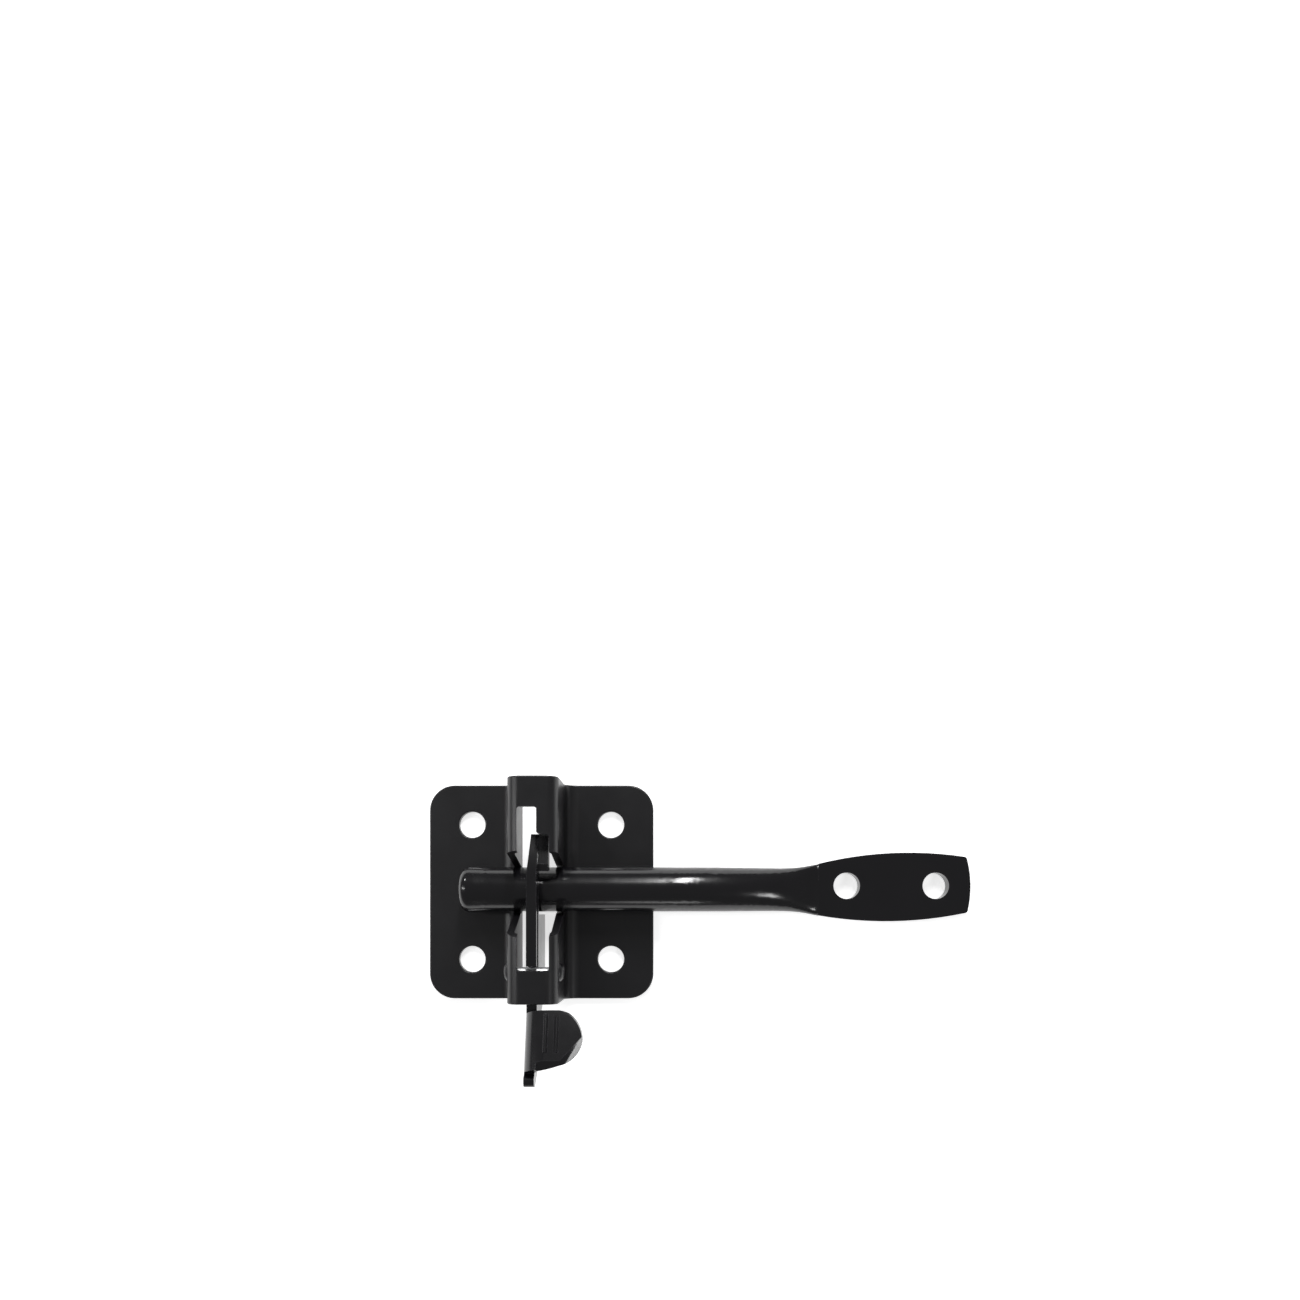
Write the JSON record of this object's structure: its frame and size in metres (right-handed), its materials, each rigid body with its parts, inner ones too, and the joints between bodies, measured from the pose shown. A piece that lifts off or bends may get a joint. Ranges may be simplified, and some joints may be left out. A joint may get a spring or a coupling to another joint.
{
  "type": "automatic gate latch",
  "caption": "Post-mounted gate latch: pressed case with a raised channel, sliding pawl with thumb tab on a cross rivet, and a gate striker bar that lies in the channel's notches.",
  "frame": {"origin": "centre of the case's back face, which lies on the post", "axes": "+Z out of the case, away from the post; +X along the striker bar towards the gate; -Y the side where the thumb tab comes out, which is uppermost on an upright post"},
  "size_m": [0.1377, 0.0739, 0.0272],
  "materials": {
    "black_coat": "satin black powder coat on steel, slightly soft at the edges",
    "zinc_plate": "bright zinc-plated steel rivet"
  },
  "bodies": {
    "case": {"latch_case": "black_coat", "pawl_rivet": "zinc_plate"},
    "pawl": {"pawl": "black_coat"},
    "striker": {"striker_bar": "black_coat"}
  },
  "joints": [
    {"name": "pawl_lift", "type": "slide", "parent": "case", "child": "pawl", "axis": [0, -1, 0], "range_m": [0, 0.0203]},
    {"name": "striker_draw", "type": "slide", "parent": "case", "child": "striker", "axis": [1, 0, 0], "range_m": [0, 0.05]}
  ]
}
